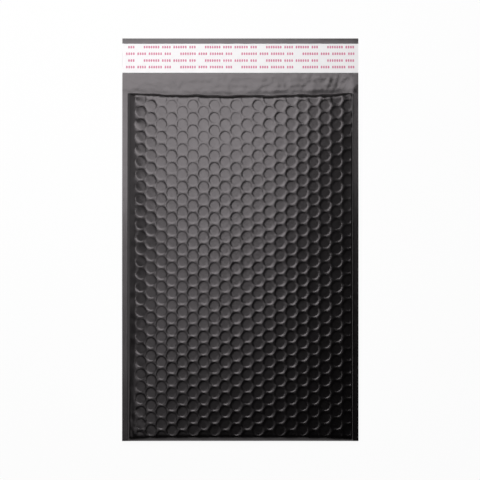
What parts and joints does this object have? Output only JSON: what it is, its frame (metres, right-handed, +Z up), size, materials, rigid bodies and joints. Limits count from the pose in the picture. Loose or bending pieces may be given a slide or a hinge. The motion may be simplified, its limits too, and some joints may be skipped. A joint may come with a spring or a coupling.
{
  "type": "padded envelope",
  "caption": "Flat padded mailing envelope of dark film lined with bubble sheet, open at one end, with a film flap that carries a peel-off release liner.",
  "frame": {"origin": "on the table under the middle of the envelope's outline, flap included", "axes": "+X across, +Y from the bottom fold to the flap's free edge, +Z up through the front panel"},
  "size_m": [0.22, 0.375, 0.0135],
  "materials": {
    "dark_film": "satin black polyethylene film, dimpled by the bubble lining",
    "glue": "clear hot-melt glue",
    "liner": "white coated release liner with small pink marks"
  },
  "bodies": {
    "root": {"padded_pouch": "dark_film", "glue_band": "glue", "release_liner": "liner"}
  },
  "joints": []
}
